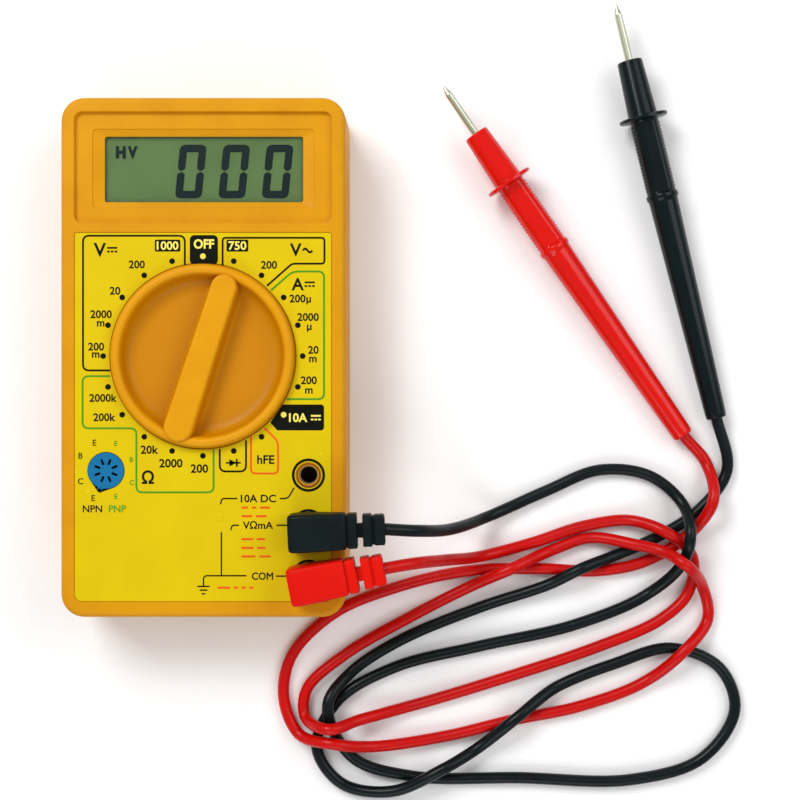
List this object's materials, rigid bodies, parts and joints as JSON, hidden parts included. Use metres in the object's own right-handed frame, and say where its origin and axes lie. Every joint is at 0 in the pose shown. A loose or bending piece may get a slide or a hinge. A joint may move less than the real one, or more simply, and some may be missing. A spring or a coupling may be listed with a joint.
{
  "type": "digital multimeter",
  "caption": "Pocket digital multimeter with a rotary range selector, liquid crystal display, three input jacks, a transistor socket and two plug-in test leads.",
  "frame": {"origin": "middle of the meter's footprint, on the surface that its back rests on; the leads are not counted", "axes": "+X to the right and +Y up on the front face, towards the display; +Z out of the front face"},
  "size_m": [0.171, 0.2031, 0.0359],
  "materials": {
    "amber_plastic": "moulded, fine satin grain",
    "label_print": "printed film, soft gloss",
    "clear_window": "clear, polished",
    "display_glass": "grey-green reflective display",
    "white_plastic": "moulded, matt",
    "elastomer": "layered silicone rubber",
    "circuit_board": "green solder mask",
    "gold_plate": "plated, smooth",
    "steel": "bright zinc",
    "brass": "drawn, slightly dull",
    "black_epoxy": "poured epoxy",
    "fuse_glass": "clear glass tube",
    "manganin": "bare resistance wire",
    "blue_plastic": "moulded, satin gloss",
    "trimmer_blue": "moulded, matt",
    "resistor_coat": "lacquer coat",
    "film_coat": "dipped coat",
    "capacitor_sleeve": "shrink sleeve",
    "battery_jacket": "printed jacket, no marks",
    "black_plastic": "moulded, satin",
    "lead_black": "flexible vinyl, soft gloss",
    "lead_red": "flexible vinyl, soft gloss",
    "probe_black": "moulded, soft gloss",
    "probe_red": "moulded, soft gloss"
  },
  "bodies": {
    "meter": {"front_case": "amber_plastic", "rear_cover": "amber_plastic", "case_screws": "steel", "front_label": "label_print", "display_window": "clear_window", "lcd_panel": "display_glass", "lcd_frame": "white_plastic", "zebra_strip": "elastomer", "circuit_board": "circuit_board", "switch_tracks": "gold_plate", "board_screws": "steel", "converter_chip": "black_epoxy", "jack_10a": "brass", "jack_volt": "brass", "jack_com": "brass", "shunt_wire": "manganin", "fuse_glass": "fuse_glass", "fuse_caps": "steel", "fuse_clips": "brass", "transistor_socket": "blue_plastic", "socket_contacts": "gold_plate", "trimmer_body": "trimmer_blue", "resistors": "resistor_coat", "film_capacitors": "film_coat", "electrolytic_capacitor": "capacitor_sleeve", "battery": "battery_jacket", "battery_terminals": "steel", "battery_clip": "black_plastic", "battery_wire_red": "lead_red", "battery_wire_black": "lead_black", "black_cable": "lead_black", "black_probe_handle": "probe_black", "black_probe_tip": "steel", "red_cable": "lead_red", "red_probe_handle": "probe_red", "red_probe_tip": "steel"},
    "selector": {"selector_knob": "amber_plastic", "contact_springs": "brass", "detent_spring_left": "steel", "detent_spring_right": "steel"},
    "ball_left": {"detent_ball_left": "steel"},
    "ball_right": {"detent_ball_right": "steel"},
    "trimmer": {"trimmer_rotor": "white_plastic"},
    "black_plug": {"black_plug_body": "lead_black", "black_plug_pin": "steel", "black_plug_spring": "steel"},
    "red_plug": {"red_plug_body": "lead_red", "red_plug_pin": "steel", "red_plug_spring": "steel"}
  },
  "joints": [
    {"name": "selector_turn", "type": "hinge", "parent": "meter", "child": "selector", "pos_m": [0, 0.0003, 0.0174], "axis": [0, 0, 1], "continuous": true},
    {"name": "ball_left_press", "type": "slide", "parent": "selector", "child": "ball_left", "axis": [0.9511, -0.309, 0], "range_m": [0, 0.0003], "stiffness_N_per_m": 500, "springref_m": -0.001},
    {"name": "ball_right_press", "type": "slide", "parent": "selector", "child": "ball_right", "axis": [-0.9511, 0.309, 0], "range_m": [0, 0.0003], "stiffness_N_per_m": 500, "springref_m": -0.001},
    {"name": "trimmer_turn", "type": "hinge", "parent": "meter", "child": "trimmer", "pos_m": [-0.006, -0.04, 0.0122], "axis": [0, 0, 1], "range_deg": [-130, 130]},
    {"name": "black_plug_pull", "type": "slide", "parent": "meter", "child": "black_plug", "axis": [0, 0, 1], "range_m": [0, 0.018]},
    {"name": "red_plug_pull", "type": "slide", "parent": "meter", "child": "red_plug", "axis": [0, 0, 1], "range_m": [0, 0.018]}
  ]
}
